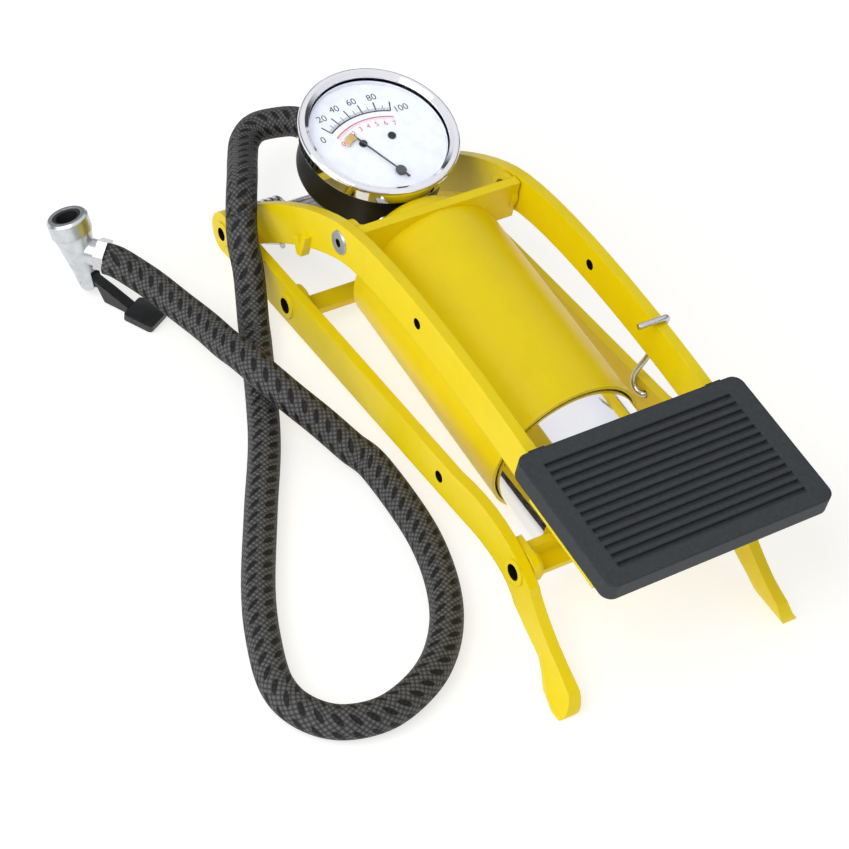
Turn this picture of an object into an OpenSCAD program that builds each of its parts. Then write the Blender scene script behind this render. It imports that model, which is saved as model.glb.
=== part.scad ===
// Foot-operated tyre inflator, folded flat and latched, with pressure gauge, braided hose and valve chuck.
// +X runs from the hinge end to the pedal end, +Z is up, and the floor is z = 0 under the middle of the frame.

/* [Frame] */
// Overall length of the folded frame
frame_len = 251; // [249:1:255]
// Half distance between the outer faces of the two rails
rail_outer = 44.8; // [44.5:0.1:47]
// Thickness of the rail and arm straps
strap_t = 4; // [3.4:0.1:4.2]
// Width of the rail strap
rail_w = 14; // [13:0.5:14.5]
// Radius of the rounded hinge end of a rail
rail_end_r = 8.5; // [8:0.1:9]
// Rise of the rails towards the front, degrees
rail_rise = 6.8; // [6.5:0.1:7]
// How far the foot's tongue is bent outwards past the rail
foot_w = 4.6; // [4:0.1:6.5]
// Side gap between a rail and an arm
arm_gap = 3.3; // [3:0.1:3.6]
// Width of the arm strap
arm_w = 14.8; // [13.5:0.1:15]
// Radius of the hinge axle
axle_r = 3.5; // [3:0.1:4]

/* [Pivots] */
// Yoke pivot, forward of the hinge axle
yoke_pivot_x = 64.4; // [64:0.1:65]
// Yoke pivot, above the floor
yoke_pivot_z = 57.5; // [57:0.1:58]
// Front pivot, behind the tip of the foot
front_pivot_back = 44.7; // [44:0.1:45.5]
// Front pivot, above the floor
front_pivot_z = 28; // [27.9:0.1:28.5]
// Rear cross bar, forward of the hinge axle
cross_bar_x = 47.5; // [44:0.5:50]

/* [Pump] */
// Outer radius of the barrel
barrel_r = 29.3; // [29:0.1:29.4]
// Wall of the barrel
barrel_wall = 1.2; // [1:0.1:1.5]
// Running gap round the plunger tube
plunger_gap = 0.5; // [0.4:0.1:0.7]
// Wall of the plunger tube
plunger_wall = 1.5; // [1.2:0.1:2]
// Nose-down tilt of the pump axis, degrees
pump_tilt = 3.3; // [3.2:0.1:3.6]
// Plunger left out between the front pivot and the barrel's rim
plunger_out = 37.6; // [36:0.1:40]
// Radius of the cylinder head
head_r = 24; // [22:0.5:25]
// Thickness of the cylinder head
head_t = 11.5; // [10:0.5:12]
// Radius of the outlet manifold
manifold_r = 7.5; // [7:0.1:8]
// How far the manifold runs below the pump axis
manifold_drop = 7; // [6.5:0.1:8]

/* [Pedal] */
// Width of the rubber pad, side to side
pad_w = 89.7; // [88:0.1:92]
// Depth of the rubber pad, front to back
pad_d = 56.5; // [55:0.1:58]
// Height of the pad's side wall
pad_h = 7; // [6.4:0.1:8]
// Rubber above the pedal plate
pad_top_t = 4; // [3.5:0.1:4.5]
// Number of grooves across the pad
groove_n = 13; // [9:1:15]
// Nose-down tilt of the pad, degrees
pad_tilt = 3.6; // [3.2:0.1:4]
// Thickness of the pedal plate
plate_t = 2; // [1.6:0.1:2.5]

/* [Gauge] */
// Radius of the chrome bezel
bezel_r = 30; // [29:0.1:30.2]
// Depth of the gauge from the bezel's face to the case's back
gauge_depth = 24.5; // [22:0.5:25]
// Nose-down tilt of the gauge face, degrees
gauge_tilt = 8.9; // [8.5:0.1:9.5]
// Distance of the needle's spindle from the dial's centre
spindle_off = 17; // [15:0.5:18]

/* [Hose and chuck] */
// Outer radius of the braided hose
hose_r = 5.8; // [5:0.1:6]
// Radius of the chuck body
chuck_r = 7.7; // [7.2:0.1:8]
// Length of the chuck body
chuck_len = 31; // [28:0.5:34]
// Radius of the hole that takes the tyre valve
valve_hole_r = 4.2; // [4:0.1:4.6]
// Radius of the latch wire
latch_wire_r = 1.1; // [0.9:0.1:1.3]

/* [Hidden] */
$fn = 64;
slip = 0.3;                                   // least gap between faces that move past each other
fit = 0.04;                                   // gap round a piece that sits in a round hole
hinge_x = rail_end_r - frame_len / 2;
hinge_z = rail_end_r;
rail_inner = rail_outer - strap_t;
arm_outer = rail_inner - arm_gap;
arm_inner = arm_outer - strap_t;
yoke_side = arm_inner - 0.5;                  // outer face of the yoke's ears, clear of the arms
yoke_t = 2.4;
foot_x = frame_len - rail_end_r;              // tip of the foot, forward of the hinge axle
front_pivot_x = foot_x - front_pivot_back;
rivet_r = 4;
rivet_bore_r = 3;
rivet_head_r = 4.9;
rivet_head_t = 0.7;
// pump axis stations, measured rearwards (negative) from the front pivot
pivot_du = yoke_pivot_x - front_pivot_x;
pivot_dw = yoke_pivot_z - front_pivot_z;
ear_u = pivot_du * cos(pump_tilt) - pivot_dw * sin(pump_tilt);
ear_w = pivot_du * sin(pump_tilt) + pivot_dw * cos(pump_tilt);
web_t = 3.5;
web_rear_u = ear_u + 2.3;
barrel_rear_u = web_rear_u + web_t;
barrel_front_u = -plunger_out;
barrel_len = barrel_front_u - barrel_rear_u;
gasket_t = 0.8;
head_rear_u = web_rear_u - gasket_t - head_t;
manifold_rear_u = head_rear_u - 46.6;
ferrule_len = 13;
ferrule_r = 6.9;
plunger_r = barrel_r - barrel_wall - plunger_gap;
cup_h = 5;
plunger_rear_u = barrel_rear_u + cup_h + 2.5;
stirrup_t = 3;
stirrup_u = -9;                               // rear face of the stirrup's web
passage_r = 2.2;
gauge_x = yoke_pivot_x - 37.3;
gauge_z = yoke_pivot_z + 9.5;
case_r = bezel_r - 3;
dial_z = -4.9;
pad_x = foot_x - 29.2;
pad_z = yoke_pivot_z + 12;
chuck_base = [0.5, -98.9, 2.7];
chuck_lean = 24;
chuck_turn = 210;
port_h = 17;                                  // height of the side port up the chuck's axis
port_dir = [0.74, 0.67, -0.07];
port_out = 7.6;
nut_t = 3.8;
chuck_axis = [sin(chuck_lean) * cos(chuck_turn), sin(chuck_lean) * sin(chuck_turn), cos(chuck_lean)];
port_foot = chuck_base + port_h * chuck_axis;
chuck_at = port_foot + (port_out + nut_t - 0.3) * port_dir / norm(port_dir);
steel = [0.75, 0.76, 0.78];
yellow = [0.89, 0.83, 0.02];
black = [0.07, 0.07, 0.075];
rubber = [0.24, 0.26, 0.27];
zinc = [0.63, 0.65, 0.67];
brass = [0.78, 0.63, 0.3];

function arc(c, r, a0, a1, n) = [for (i = [0:n]) let (a = a0 + (a1 - a0) * i / n) c + r * [cos(a), sin(a)]];
function bezier2(p, q, r, n) =
    [for (i = [0:n]) let (t = i / n) (1 - t) * (1 - t) * p + 2 * t * (1 - t) * q + t * t * r];
function bezier3(p, q, r, s, t) =
    pow(1 - t, 3) * p + 3 * t * pow(1 - t, 2) * q + 3 * t * t * (1 - t) * r + pow(t, 3) * s;
function unit(v) = v / norm(v);
function edge(path, i) = unit(path[min(i + 1, len(path) - 1)] - path[max(i - 1, 0)]);
function side(path, off) = [for (i = [0:len(path) - 1]) path[i] + off * [-edge(path, i)[1], edge(path, i)[0]]];
function reversed(v) = [for (i = [len(v) - 1:-1:0]) v[i]];

// a flat shape drawn in the side view, given a thickness from y0 to y0 + t
module side_plate(y0, t) {
    translate([hinge_x, y0 + t, 0]) rotate([90, 0, 0]) linear_extrude(t) children();
}
// a round bar along Y, placed in the side view
module cross_rod(x, z, r, y0, y1) {
    translate([hinge_x + x, y0, z]) rotate([-90, 0, 0]) cylinder(r = r, h = y1 - y0);
}
module both_sides() {
    children();
    mirror([0, 1, 0]) children();
}
module on_pump() {
    translate([hinge_x + front_pivot_x, 0, front_pivot_z]) rotate([0, pump_tilt, 0]) children();
}
// a turned piece on the pump axis, from station u forwards
module along_pump(u, drop = 0) {
    on_pump() translate([u, 0, -drop]) rotate([0, 90, 0]) children();
}
module on_gauge() {
    translate([hinge_x + gauge_x, 0, gauge_z]) rotate([0, gauge_tilt, 0]) children();
}
module on_pad() {
    translate([hinge_x + pad_x, 0, pad_z]) rotate([0, pad_tilt, 0]) children();
}
module tube(r, bore, h) {
    difference() {
        cylinder(r = r, h = h);
        translate([0, 0, -1]) cylinder(r = bore, h = h + 2);
    }
}
module rounded_box(size, r, h) {
    linear_extrude(h) polygon(concat(
        arc([size[0] / 2 - r, size[1] / 2 - r], r, 0, 90, 6),
        arc([r - size[0] / 2, size[1] / 2 - r], r, 90, 180, 6),
        arc([r - size[0] / 2, r - size[1] / 2], r, 180, 270, 6),
        arc([size[0] / 2 - r, r - size[1] / 2], r, 270, 360, 6)));
}

// ---- base frame ----
function rail_z(x) = hinge_z + x * tan(rail_rise);
latch_x = front_pivot_x - 47.2;
spare_hole_r = 2.2;
latch_up = 3;                                 // the latch pivots above the middle of the strap
module rail_outline(hole_r, hole_up) {
    up = rail_w / 2 / cos(rail_rise);
    px = front_pivot_x;
    pz = front_pivot_z;
    difference() {
        polygon(concat(
            arc([0, hinge_z], rail_end_r, 90 + rail_rise, 270, 14),
            [[20, rail_z(20) - up]],
            bezier2([px - 32, rail_z(px - 32) - up], [px - 6, rail_z(px - 6) - up + 1.5], [px + 3.7, pz - 13.1], 8),
            [[foot_x - 31, 10.2], [foot_x - 22.5, 6.6]],
            bezier2([foot_x - 19, 4], [foot_x - 17.5, 1.5], [foot_x - 15.5, 0], 3),
            bezier2([foot_x - 3, 0], [foot_x + 0.5, 1.5], [foot_x - 5, 8.5], 5),
            bezier2([foot_x - 8, 9.8], [foot_x - 23, 16], [px + 11, pz - 2], 5),
            bezier2([px + 9, pz + 0.5], [px - 12, rail_z(px - 12) + up + 4.5], [px - 40, rail_z(px - 40) + up], 8)));
        translate([0, hinge_z]) circle(r = axle_r + fit);
        translate([cross_bar_x, rail_z(cross_bar_x)]) circle(r = rivet_r + fit);
        translate([px, pz]) circle(r = rivet_r + fit);
        translate([latch_x, rail_z(latch_x) + hole_up]) circle(r = hole_r);
    }
}
// a rail on the +Y side; the front of its foot is bent outwards into a tongue that lies on the floor
flare_z = 12;
tongue_y = rail_outer + foot_w;
module rail(hole_r, hole_up) {
    side_plate(rail_inner, strap_t) difference() {
        rail_outline(hole_r, hole_up);
        translate([foot_x - 36, -1]) square([40, flare_z + 1]);
    }
    intersection() {
        side_plate(rail_inner - 1, strap_t + foot_w + 2) rail_outline(hole_r, hole_up);
        translate([hinge_x + foot_x - 36, 0, 0]) rotate([90, 0, 90]) linear_extrude(40) polygon(concat(
            bezier2([rail_inner, flare_z], [rail_inner, 0], [rail_inner + 5, 0], 8),
            bezier2([tongue_y, 0], [tongue_y, 1.2], [tongue_y - 0.6, 1.6], 2),
            bezier2([tongue_y - 1, 1.8], [rail_outer + 0.9, 5.4], [rail_outer, flare_z], 8)));
        translate([hinge_x + foot_x, 0, -1]) linear_extrude(flare_z + 2) polygon([[-37, rail_inner - 1],
            [-37, rail_outer], [-24, rail_outer + 0.1], [-14, rail_outer + 2.6], [-7, tongue_y], [-2.5, tongue_y],
            [0, tongue_y - 3], [1, rail_inner - 1]]);
    }
}
module left_rail() {
    color(yellow) rail(latch_wire_r + slip, latch_up);
}
module right_rail() {
    color(yellow) mirror([0, 1, 0]) rail(spare_hole_r, 0);
}
// flat plate between the rails, its ends bent up against them
bar_w = 7.5;
bar_t = 3;
bar_drop = 5.5;
bar_ear_r = 6;
bar_ahead = 0.7;
module rear_cross_bar() {
    z = rail_z(cross_bar_x);
    color(yellow) difference() {
        union() {
            translate([hinge_x + cross_bar_x + bar_ahead - bar_w / 2, -rail_inner, z - bar_drop])
                cube([bar_w, 2 * rail_inner, bar_t]);
            both_sides() side_plate(rail_inner - bar_t, bar_t) union() {
                translate([cross_bar_x, z]) circle(r = bar_ear_r);
                translate([cross_bar_x + bar_ahead - bar_w / 2, z - bar_drop]) square([bar_w, bar_drop]);
            }
        }
        both_sides() cross_rod(cross_bar_x, z, rivet_r + fit, rail_inner - bar_t - 1, rail_outer);
        // room for the rivets' inner heads
        both_sides() cross_rod(cross_bar_x, z, rivet_head_r + slip, rail_inner - bar_t - 1, rail_inner - bar_t);
    }
}
// hollow rivet through a strap, heads on both faces
module hollow_rivet(x, z, y0, y1) {
    difference() {
        union() {
            cross_rod(x, z, rivet_r, y0, y1);
            cross_rod(x, z, rivet_head_r, y1, y1 + rivet_head_t);
            cross_rod(x, z, rivet_head_r, y0 - rivet_head_t, y0);
        }
        cross_rod(x, z, rivet_bore_r, y0 - 2 * rivet_head_t, y1 + 2 * rivet_head_t);
    }
}
module cross_bar_rivets() {
    color(yellow) both_sides() hollow_rivet(cross_bar_x, rail_z(cross_bar_x), rail_inner - bar_t, rail_outer);
}
stirrup_side = rail_inner - slip;
module front_pivot_rivets() {
    color(yellow) both_sides()
        hollow_rivet(front_pivot_x, front_pivot_z, stirrup_side - stirrup_t - slip, rail_outer);
}
module hinge_axle() {
    rim_t = 0.7;
    color(zinc) difference() {
        union() {
            cross_rod(0, hinge_z, axle_r, -rail_outer, rail_outer);
            both_sides() cross_rod(0, hinge_z, rivet_head_r, rail_outer, rail_outer + rim_t);
        }
        both_sides() cross_rod(0, hinge_z, 2.6, rail_outer - 4, rail_outer + 2 * rim_t);
    }
}
module axle_spacers() {
    color(zinc) both_sides() difference() {
        cross_rod(0, hinge_z, 6.5, arm_outer + 0.15, rail_inner);
        cross_rod(0, hinge_z, axle_r + fit, arm_outer - 1, rail_inner + 1);
    }
}
sleeve_r = 4.7;
module axle_sleeve() {
    color(steel) difference() {
        cross_rod(0, hinge_z, sleeve_r, -arm_inner + 0.15, arm_inner - 0.15);
        cross_rod(0, hinge_z, axle_r + fit, -arm_inner, arm_inner);
    }
}

// torsion spring hung round the sleeve: one leg rests on the cross bar, the other pushes under the right arm
coil_wire_r = 1;
coil_r = 6.9;
coil_z = hinge_z + 0.4;
coil_a0 = 86.5;
coil_sweep = 1663.5;
coil_steps = 37;
coil_y0 = -20;
coil_y1 = 1.5 - arm_inner;
curl_rings = 8;
spring_sides = 6;
function coil_at(t) = let (a = coil_a0 + coil_sweep * t)
    [coil_r * cos(a), coil_y0 + (coil_y1 - coil_y0) * t, coil_z + coil_r * sin(a)];
coil_curls = [for (i = [0:coil_steps]) coil_at(i / coil_steps)];
leg_low = [for (s = [50, 30, 10, 2]) coil_curls[0] + s * unit([0.89, 0.45, -0.055])];
coil_end = coil_curls[coil_steps];
leg_high = concat([for (s = [2, 10, 20]) coil_end + s * unit([0.766, 0, 0.643])],
    [coil_end + [22.1, -3.3, 18.3]]);
spring_path = concat(leg_low, coil_curls, leg_high);
// section of a tube round point i of a path that never runs along ref
function ring(path, i, r, n, ref) =
    let (d = edge(path, i), a = unit(cross(d, ref)), b = cross(d, a))
    [for (k = [0:n - 1]) path[i] + r * (cos(360 * k / n) * a + sin(360 * k / n) * b)];
function tube_faces(m, n) = concat(
    [for (k = [1:n - 2]) [0, k, k + 1]],
    [for (i = [0:m - 2], k = [0:n - 1]) let (k2 = (k + 1) % n) each
        [[i * n + k, (i + 1) * n + k, (i + 1) * n + k2], [i * n + k, (i + 1) * n + k2, i * n + k2]]],
    [for (k = [1:n - 2]) [(m - 1) * n, (m - 1) * n + k + 1, (m - 1) * n + k]]);
spring_gap = min([for (i = [0:coil_steps - curl_rings]) norm(coil_curls[i + curl_rings] - coil_curls[i])])
    - 2 * coil_wire_r;
echo(torsion_spring_least_gap_mm = spring_gap);
module torsion_spring() {
    m = len(spring_path);
    color(steel) translate([hinge_x, 0, 0]) polyhedron(
        points = [for (i = [0:m - 1]) each ring(spring_path, i, coil_wire_r, spring_sides, [0, 1, 0])],
        faces = tube_faces(m, spring_sides));
}

// centre line of an arm strap, from the hinge through the yoke pivot to the knee under the pad
arm_n = 12;
arm_pivot = [yoke_pivot_x, yoke_pivot_z];
arm_knee = [pad_x - 31.1, pad_z - 9.4];
function arm_rear(t) = bezier3([0, hinge_z], [12.6, hinge_z + 15.1], arm_pivot - [23.2, 9.3], arm_pivot, t);
function arm_front(t) = bezier3(arm_pivot, arm_pivot + [24.6, 9.5], arm_knee + [-34, 4.1], arm_knee, t);
arm_path = concat([for (i = [0:arm_n]) arm_rear(i / arm_n)], [for (i = [1:arm_n]) arm_front(i / arm_n)],
    [arm_knee + [5, -0.3]]);

// latch wire: pivots in the left rail and hooks over the left arm
latch_top = arm_front(0.75)[1] + arm_w / 2 + 1.8;
latch_side = rail_inner - 1.6;
latch_sides = 12;
latch_hub = [0, rail_outer, rail_z(latch_x) + latch_up];
latch_path = concat([latch_hub + [0, 1.4, 0], latch_hub - [0, strap_t + 0.1, 0]],
    [for (p = [[-2.4, -strap_t - 1.3, -0.4], [-5, -strap_t - 1.6, 0.8], [-6, -strap_t - 1.6, 4]]) latch_hub + p],
    [[-5.2, latch_side, latch_top - 34], [-2, latch_side, latch_top - 24], [0, latch_side, latch_top - 13],
    [1.6, latch_side, latch_top - 4], [2.4, latch_side - 0.9, latch_top - 1], [3, latch_side - 3.6, latch_top],
    [3, arm_inner - 3, latch_top], [2.8, arm_inner - 7.5, latch_top - 0.2]]);
module latch_wire() {
    m = len(latch_path);
    color(steel) translate([hinge_x + latch_x, 0, 0]) polyhedron(
        points = [for (i = [0:m - 1]) each ring(latch_path, i, latch_wire_r, latch_sides, [1, 0, 0])],
        faces = tube_faces(m, latch_sides));
}

// ---- treadle ----
plate_under_z = pad_z - pad_top_t - plate_t;
function plate_z(x) = plate_under_z - (x - pad_x) * tan(pad_tilt);
arm_tip_x = pad_x + 21.9;
plate_rear_x = pad_x - 24.6;
arm_end = len(arm_path) - 1;
arm_start_a = atan2(edge(arm_path, 0)[1], edge(arm_path, 0)[0]);
module arm_outline() {
    difference() {
        polygon(concat(
            [for (i = [0:arm_end - 1]) side(arm_path, arm_w / 2)[i]],
            [[plate_rear_x, pad_z - 3], [plate_rear_x, plate_z(plate_rear_x)], [arm_tip_x, plate_z(arm_tip_x)],
                [arm_tip_x, plate_z(arm_tip_x) - 8], [arm_tip_x - 6, plate_z(arm_tip_x) - 11.5]],
            [for (i = [arm_end:-1:1]) side(arm_path, -arm_w / 2)[i]],
            arc([0, hinge_z], arm_w / 2, arm_start_a + 270, arm_start_a + 90, 16)));
        translate([0, hinge_z]) circle(r = axle_r + 0.05);
        translate(arm_pivot) circle(r = rivet_r + fit);
        translate(arm_pivot + [50.6, 6.5]) circle(r = 2);
    }
}
// V-shaped stop struck out of the right arm's lower edge
module stop_lug() {
    side_plate(-arm_outer - 2.4, 3.4) translate(arm_pivot - [22, 17.6])
        scale(0.84) polygon([[-4.4, -0.3], [0.2, -7.3], [3.6, -6.1], [5.6, 5.9], [2.6, 6.3], [1.4, -0.7], [-1.6, 2.3]]);
}
module left_arm() {
    color(yellow) side_plate(arm_inner, strap_t) arm_outline();
}
module right_arm() {
    color(yellow) union() {
        side_plate(-arm_outer, strap_t) arm_outline();
        stop_lug();
    }
}
pad_wall = 2.4;
plate_gap = 0.35;                             // room between the plate's edge and the pad's wall
plate_w = pad_w - 2 * (pad_wall + plate_gap);
plate_d = pad_d - 7;
stud_x = 16;
stud_y = 27;
stud_r = 2.5;
module at_studs() {
    for (sx = [-1, 1], sy = [-1, 1]) translate([sx * stud_x, sy * stud_y, 0]) children();
}
module pedal_plate() {
    flange_h = 7;
    color(yellow) on_pad() difference() {
        union() {
            translate([0, 0, -pad_top_t - plate_t]) rounded_box([plate_d, plate_w], 3, plate_t);
            both_sides() translate([-plate_d / 2 + 6, arm_outer, -pad_top_t - plate_t - flange_h])
                cube([plate_d - 12, plate_w / 2 - arm_outer, flange_h + 1]);
        }
        at_studs() translate([0, 0, -pad_h]) cylinder(r = stud_r, h = pad_h);
    }
}
pad_corner = 4;
groove_w = 1.8;
groove_deep = 1.4;
groove_len = pad_w - 15;
groove_pitch = (pad_d - 14) / (groove_n - 1);
module pedal_pad() {
    color(rubber) on_pad() difference() {
        union() {
            difference() {
                translate([0, 0, -pad_h]) rounded_box([pad_d, pad_w], pad_corner, pad_h);
                translate([0, 0, -pad_h - 1])
                    rounded_box([pad_d - 2 * pad_wall, pad_w - 2 * pad_wall], pad_corner - pad_wall,
                        pad_h + 1 - pad_top_t);
            }
            both_sides() translate([-pad_d / 2 - 1, arm_inner - 1, -pad_top_t + 0.8])
                cube([4, strap_t + 2, pad_top_t - 1.8]);
            at_studs() translate([0, 0, -pad_top_t - plate_t]) cylinder(r = stud_r, h = plate_t + 0.5);
            at_studs() translate([0, 0, -pad_top_t - plate_t - 1.6]) cylinder(r1 = 2.6, r2 = 3.8, h = 1.6);
        }
        for (i = [0:groove_n - 1]) translate([(i - (groove_n - 1) / 2) * groove_pitch, 0, -groove_deep]) {
            translate([-groove_w / 2, -groove_len / 2, 0]) cube([groove_w, groove_len, 2 * groove_deep]);
        }
        // the arms pass under the rear wall
        both_sides() translate([-pad_d / 2 - 1, arm_inner - 0.4, -pad_h - 1])
            cube([pad_wall + 2, strap_t + 0.8, pad_h + 1 - pad_top_t + 0.6]);
    }
}
// rivets of the open pivot: they fill the arms and stop short of the yoke's ears
module yoke_rivets() {
    color(zinc) both_sides() difference() {
        union() {
            cross_rod(yoke_pivot_x, yoke_pivot_z, rivet_r, arm_inner, arm_outer);
            translate([hinge_x + yoke_pivot_x, arm_outer, yoke_pivot_z]) rotate([-90, 0, 0])
                cylinder(r1 = 4.6, r2 = 4.3, h = 0.7);
        }
        cross_rod(yoke_pivot_x, yoke_pivot_z, 1.6, arm_outer, arm_outer + 4);
    }
}

// ---- plunger group, turning on the front pivot ----
module front_stirrup() {
    web_low = -8;
    flange_w = 9.5;
    flange_t = 2.4;
    ear_end_r = 5.5;
    color(yellow) difference() {
        union() {
            on_pump() translate([stirrup_u, -stirrup_side, web_low]) {
                cube([stirrup_t, 2 * stirrup_side, -web_low]);
                cube([flange_w, 2 * stirrup_side, flange_t]);
            }
            along_pump(stirrup_u - stirrup_t) cylinder(r = plunger_r - plunger_wall - fit, h = stirrup_t);
            along_pump(stirrup_u - 1) cylinder(r = 7.5, h = 2);
            both_sides() side_plate(stirrup_side - stirrup_t, stirrup_t)
                translate([front_pivot_x, front_pivot_z]) rotate(-pump_tilt) union() {
                    circle(r = ear_end_r);
                    translate([stirrup_u, web_low]) square([-stirrup_u, ear_end_r - web_low]);
                }
        }
        both_sides()
            cross_rod(front_pivot_x, front_pivot_z, rivet_r + 0.06, stirrup_side - stirrup_t - 1, rail_outer);
    }
}
module plunger_tube() {
    color(steel) along_pump(plunger_rear_u) tube(plunger_r, plunger_r - plunger_wall, stirrup_u - plunger_rear_u);
}
module plunger_cap() {
    color(zinc) along_pump(plunger_rear_u) difference() {
        cylinder(r = plunger_r - plunger_wall - fit, h = 6);
        translate([0, 0, -1]) cylinder(r = 2.5, h = 8);
        for (a = [45:90:315]) rotate(a) translate([15, 0, -1]) cylinder(r = 2, h = 8);
    }
}
module cup_seal() {
    color(black) along_pump(plunger_rear_u - cup_h) difference() {
        cylinder(r = plunger_r + plunger_gap - 0.1, h = cup_h);
        translate([0, 0, -1]) cylinder(r1 = plunger_r - 2.6, r2 = plunger_r - 3.6, h = cup_h - 1.2);
        translate([0, 0, -1]) cylinder(r = 2.5, h = cup_h + 2);
    }
}
module cup_washer() {
    color(steel) along_pump(plunger_rear_u - cup_h + 1.6) tube(12, 2.5, cup_h - 2.8 - 1);
}
module cup_screw() {
    color(steel) along_pump(plunger_rear_u - cup_h + 0.2) union() {
        cylinder(r = 4.5, h = 1.4);
        cylinder(r = 2.5, h = cup_h + 8);
    }
}

// ---- barrel group ----
strap_top = barrel_r + 0.9;
ear_r = strap_top - ear_w;
ear_end_r = 6.6;
module barrel_tube() {
    color(yellow) along_pump(barrel_rear_u) tube(barrel_r, barrel_r - barrel_wall, barrel_len);
}
module guide_ring() {
    color(black) along_pump(barrel_front_u - 3) tube(barrel_r - barrel_wall, plunger_r + 0.12, 2.4);
}
module yoke() {
    color(yellow) on_pump() difference() {
        union() {
            translate([web_rear_u, 0, 0]) rotate([0, 90, 0]) cylinder(r = barrel_r, h = web_t);
            translate([web_rear_u, -yoke_side, ear_w - ear_r]) cube([web_t, 2 * yoke_side, 2 * ear_r]);
            both_sides() translate([0, yoke_side, 0]) rotate([90, 0, 0]) linear_extrude(yoke_t) union() {
                translate([ear_u, ear_w]) circle(r = ear_end_r);
                polygon([[ear_u, ear_w + ear_end_r], [web_rear_u, ear_w + ear_r],
                    [web_rear_u + web_t, ear_w + ear_r], [web_rear_u + web_t, ear_w - ear_r],
                    [web_rear_u, ear_w - ear_r], [ear_u, ear_w - ear_end_r]]);
            }
        }
        translate([ear_u, -arm_outer, ear_w]) rotate([-90, 0, 0]) cylinder(r = rivet_r + 0.3, h = 2 * arm_outer);
        translate([web_rear_u - 1, 0, -manifold_drop]) rotate([0, 90, 0]) cylinder(r = passage_r, h = web_t + 2);
        at_head_screws() translate([0, 0, web_rear_u - 1]) cylinder(r = 2, h = web_t + 2);
    }
}
module at_head_screws() {
    for (a = [45:90:315]) rotate([0, 90, 0]) rotate(a) translate([17.5, 0, 0]) children();
}
module head_gasket() {
    color(black) on_pump() difference() {
        translate([web_rear_u - gasket_t, 0, 0]) rotate([0, 90, 0]) cylinder(r = head_r, h = gasket_t);
        translate([web_rear_u - 2, 0, -manifold_drop]) rotate([0, 90, 0]) cylinder(r = passage_r + 0.6, h = 4);
        at_head_screws() translate([0, 0, web_rear_u - 2]) cylinder(r = 2, h = 4);
    }
}
valve_seat_u = head_rear_u + 5;
ball_r = 3.2;
chamber_r = 3.7;
module cylinder_head() {
    fillet = 7;
    color(yellow) on_pump() difference() {
        translate([head_rear_u, 0, 0]) rotate([0, 90, 0]) rotate_extrude() polygon(concat(
            [[0, 0]], arc([head_r - fillet, fillet], fillet, 270, 360, 8), [[head_r, head_t], [0, head_t]]));
        translate([valve_seat_u, 0, -manifold_drop]) rotate([0, 90, 0]) cylinder(r = passage_r, h = head_t);
        translate([head_rear_u - 1, 0, -manifold_drop]) rotate([0, 90, 0])
            cylinder(r = chamber_r, h = valve_seat_u - head_rear_u + 1);
        at_head_screws() translate([0, 0, head_rear_u - 1]) cylinder(r = 2, h = head_t + 2);
        at_head_screws() translate([0, 0, head_rear_u - 1]) cylinder(r = 3.8, h = 3.4);
    }
}
module head_screws() {
    color(zinc) on_pump() at_head_screws() union() {
        translate([0, 0, head_rear_u + 0.4]) cylinder(r = 3.8, h = 2);
        translate([0, 0, head_rear_u + 1]) cylinder(r = 2, h = web_rear_u + web_t - head_rear_u - 1);
    }
}
stem_r = 4.5;
stem_low = -33;
module outlet_manifold() {
    color(zinc) difference() {
        union() {
            along_pump(manifold_rear_u, manifold_drop) {
                cylinder(r = manifold_r, h = head_rear_u - manifold_rear_u);
                cylinder(r = manifold_r + 1.4, h = 7, $fn = 6);
            }
        }
        along_pump(head_rear_u - 14, manifold_drop) cylinder(r = chamber_r, h = 16);
        along_pump(manifold_rear_u - 1, manifold_drop) cylinder(r = passage_r, h = head_rear_u - manifold_rear_u);
        on_gauge() translate([0, 0, stem_low]) cylinder(r = stem_r, h = -stem_low);
    }
}
module valve_ball() {
    color(steel) along_pump(valve_seat_u - ball_r, manifold_drop) sphere(r = ball_r - 0.05);
}
module valve_spring() {
    color(steel) along_pump(head_rear_u - 13.5, manifold_drop)
        tube(chamber_r - 0.4, chamber_r - 1, valve_seat_u - head_rear_u + 13.5 - 2 * ball_r + 0.2);
}
module hose_ferrule() {
    color(steel) along_pump(manifold_rear_u - ferrule_len, manifold_drop) tube(ferrule_r, passage_r, ferrule_len);
}
module gauge_stem() {
    color(brass) on_gauge() difference() {
        union() {
            translate([0, 0, stem_low]) cylinder(r = stem_r, h = 4 - gauge_depth - stem_low);
            translate([0, 0, 2 - gauge_depth]) cylinder(r = 7, h = 2.4, $fn = 6);
        }
        translate([0, 0, stem_low - 1]) cylinder(r = 1.5, h = 4 - gauge_depth - stem_low + 2);
    }
}
module gauge_case() {
    wall = 1.4;
    color(black) on_gauge() difference() {
        translate([0, 0, -gauge_depth]) rotate_extrude() polygon(concat(
            [[0, 0]], arc([case_r - 3, 3], 3, 270, 360, 5), [[case_r, gauge_depth - 3], [0, gauge_depth - 3]]));
        translate([0, 0, 2 - gauge_depth]) cylinder(r = case_r - wall, h = gauge_depth);
        translate([0, 0, -gauge_depth - 1]) cylinder(r = stem_r, h = 4);
    }
}
module gauge_bezel() {
    lip = 2.6;
    color(steel) on_gauge() rotate_extrude() polygon(concat(
        [[case_r + fit, -6.5], [bezel_r - 0.8, -6.5]],
        arc([bezel_r - 1.6, -1.6], 1.6, 0, 90, 6),
        [[bezel_r - 2.4, 0], [bezel_r - lip - 1.4, -1.2], [bezel_r - lip - 1.4, -1.8], [case_r + fit, -1.8]]));
}
module gauge_lens() {
    color([0.85, 0.92, 0.95, 0.3]) on_gauge() translate([0, 0, -3 + fit]) cylinder(r = case_r, h = 1.2 - 2 * fit);
}
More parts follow.
